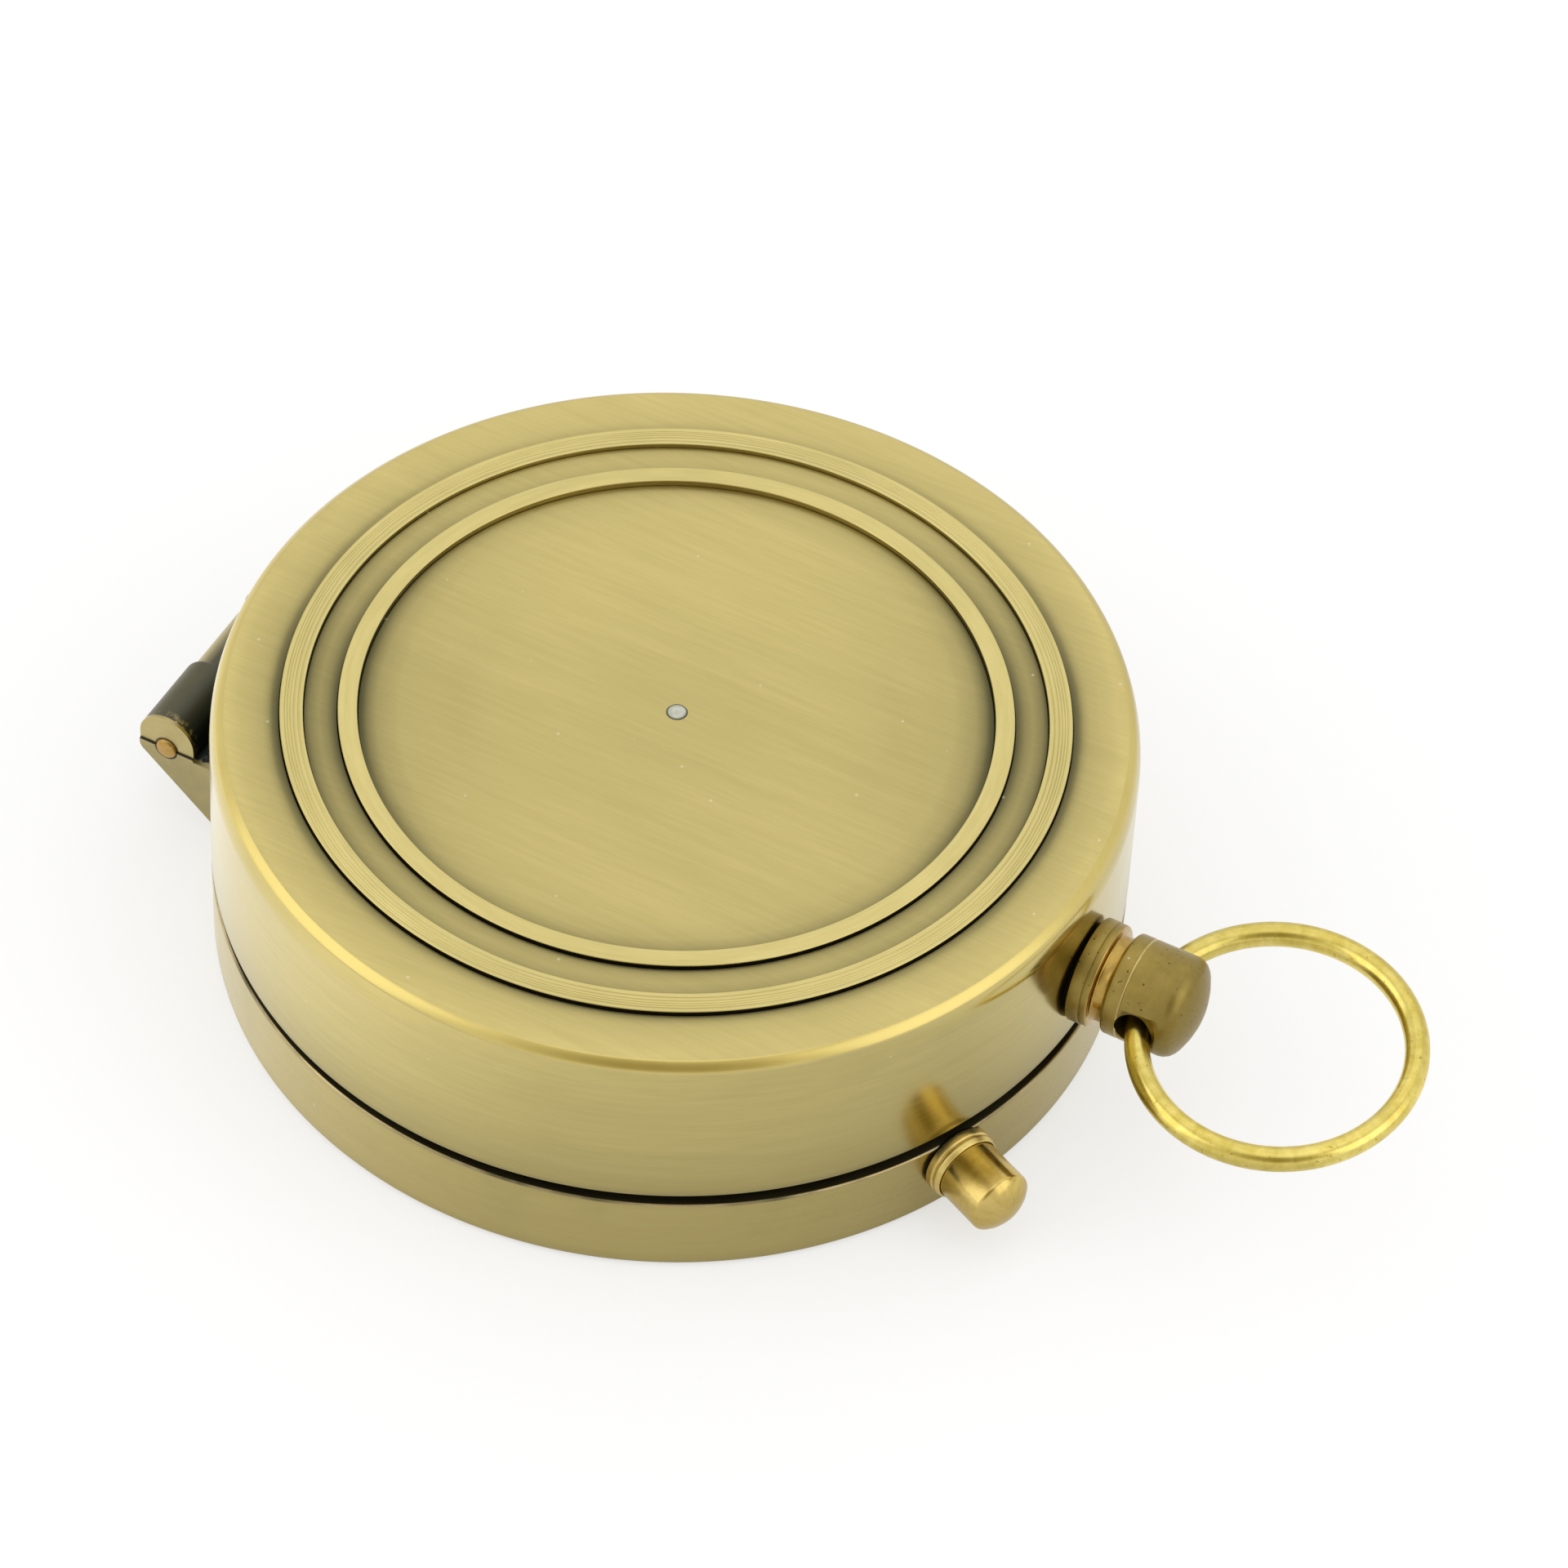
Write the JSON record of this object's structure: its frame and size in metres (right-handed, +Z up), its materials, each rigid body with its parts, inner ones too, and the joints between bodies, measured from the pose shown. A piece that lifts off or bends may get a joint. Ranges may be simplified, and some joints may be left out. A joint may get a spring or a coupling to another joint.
{
  "type": "pocket compass",
  "caption": "Round brass pocket compass with a hinged lid, push-button latch, pendant and bow, and a pivoted needle under glass, shown closed and face down.",
  "frame": {"origin": "centre of the lid's flat underside", "axes": "+Z up through the case, from the lid to the back of the bowl; +X from the hinge to the pendant; +Y across, away from the push button"},
  "size_m": [0.0877, 0.06, 0.0193],
  "materials": {
    "case_brass": "brushed, lightly tarnished",
    "hinge_brass": "dark patina with worn edges",
    "pin_brass": "worn, copper toned",
    "button_brass": "turned and polished",
    "pendant_brass": "dull, slightly pitted",
    "bow_brass": "satin wire",
    "inner_brass": "plain turned",
    "bezel_brass": "turned",
    "inner_steel": "bright",
    "pivot_steel": "riveted end, bright",
    "needle_steel": "blued",
    "dial_white": "matt off-white",
    "scale_ring": "matt off-white",
    "gasket": "matt",
    "cover_glass": "clear",
    "jewel": "polished"
  },
  "bodies": {
    "lid": {"lid_shell": "case_brass", "lid_hinge_bracket": "hinge_brass", "hinge_pin": "pin_brass", "button_bush": "button_brass", "bush_nut": "inner_brass", "spring_post": "inner_brass", "post_screw": "inner_steel", "button_spring": "inner_steel"},
    "button": {"push_button": "button_brass", "latch_hook": "inner_steel"},
    "bowl": {"bowl_case": "case_brass", "bowl_hinge_tongue": "hinge_brass", "latch_catch": "inner_brass", "needle_pivot": "pivot_steel", "dial_plate": "dial_white", "dial_ring": "scale_ring", "glass_gasket": "gasket", "cover_glass": "cover_glass", "bezel_ring": "bezel_brass", "pendant_collar": "pendant_brass", "pendant_post": "pendant_brass"},
    "needle_set": {"needle": "needle_steel", "needle_cap": "inner_brass", "cap_jewel": "jewel"},
    "bow": {"bow_ring": "bow_brass"}
  },
  "joints": [
    {"name": "bowl_open", "type": "hinge", "parent": "lid", "child": "bowl", "pos_m": [-0.0328, 0, 0.0064], "axis": [0, -1, 0], "range_deg": [0, 120]},
    {"name": "bow_swing", "type": "hinge", "parent": "bowl", "child": "bow", "pos_m": [0.03475, 0, 0.0113], "axis": [0, -1, 0], "range_deg": [-105, 115]},
    {"name": "needle_turn", "type": "hinge", "parent": "bowl", "child": "needle_set", "pos_m": [0, 0, 0.01375], "axis": [0, 0, 1], "continuous": true},
    {"name": "button_press", "type": "slide", "parent": "lid", "child": "button", "axis": [-0.91, 0.4147, 0], "range_m": [0, 0.0009], "stiffness_N_per_m": 600, "springref_m": -0.0008, "deforming": ["button_spring"]}
  ]
}
